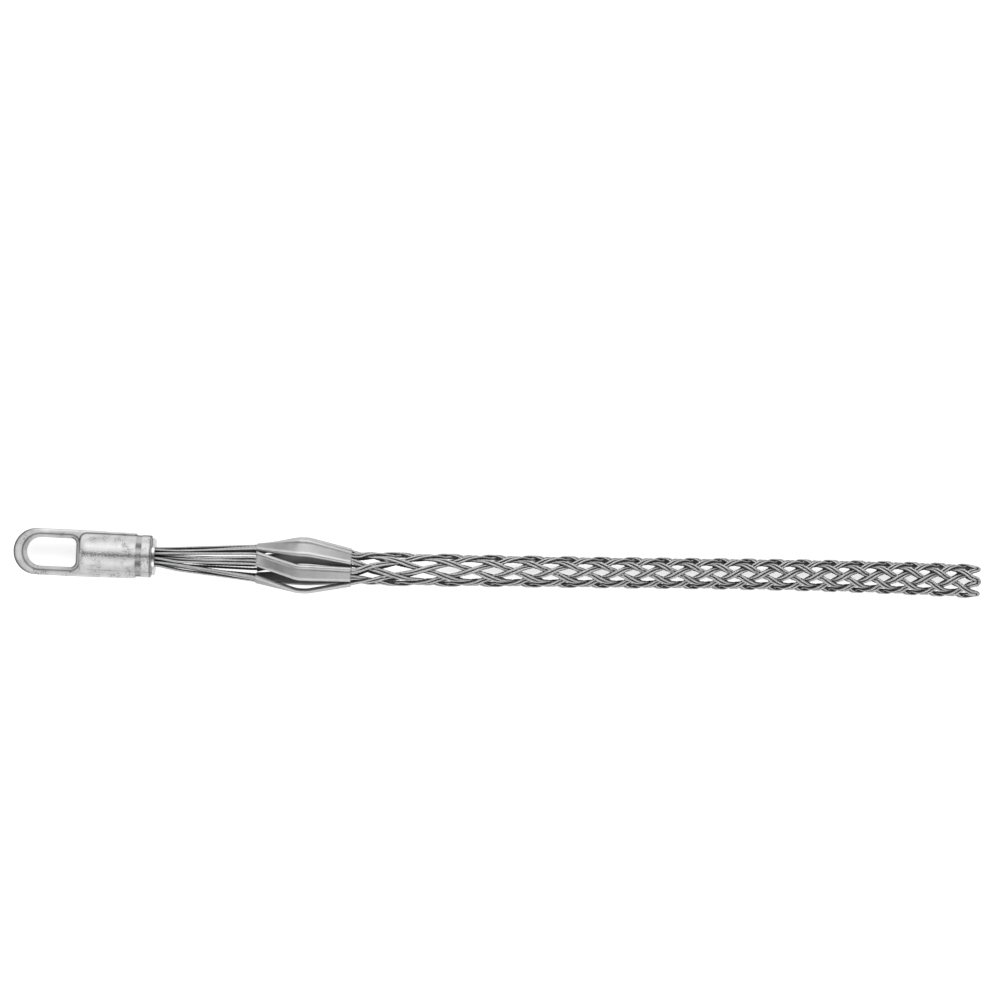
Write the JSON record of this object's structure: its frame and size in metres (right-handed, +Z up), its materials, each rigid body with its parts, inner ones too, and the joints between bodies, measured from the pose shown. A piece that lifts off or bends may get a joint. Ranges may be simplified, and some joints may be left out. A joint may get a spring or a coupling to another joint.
{
  "type": "cable pulling grip",
  "caption": "Woven steel strand basket that tightens on a cable's end, with flattened shoulder guards, a strand lead and a free-turning cast pulling eye.",
  "frame": {"origin": "on the surface the grip lies on, under the middle of its length and width", "axes": "+X from the pulling eye to the basket's tail, +Z up, out of the face of the eye; the eye's own axis is parallel to +X"},
  "size_m": [0.5798, 0.037, 0.0329],
  "materials": {
    "cast_steel": "galvanised casting, lightly pitted, satin",
    "machined_steel": "turned and plated, bright",
    "guard_steel": "plated sheet tube, smooth",
    "strand_steel": "galvanised strand"
  },
  "bodies": {
    "grip": {"ferrule": "machined_steel", "guard_1": "guard_steel", "guard_2": "guard_steel", "guard_3": "guard_steel", "guard_4": "guard_steel", "guard_5": "guard_steel", "guard_6": "guard_steel", "strand_1_outer": "strand_steel", "strand_1_inner": "strand_steel", "strand_2_outer": "strand_steel", "strand_2_inner": "strand_steel", "strand_3_outer": "strand_steel", "strand_3_inner": "strand_steel", "strand_4_outer": "strand_steel", "strand_4_inner": "strand_steel", "strand_5_outer": "strand_steel", "strand_5_inner": "strand_steel", "strand_6_outer": "strand_steel", "strand_6_inner": "strand_steel"},
    "eye": {"eye_casting": "cast_steel", "thrust_washer": "machined_steel"}
  },
  "joints": [
    {"name": "eye_swivel", "type": "hinge", "parent": "grip", "child": "eye", "pos_m": [-0.20485, -0.00071, 0.01283], "axis": [1, 0, 0], "continuous": true}
  ]
}
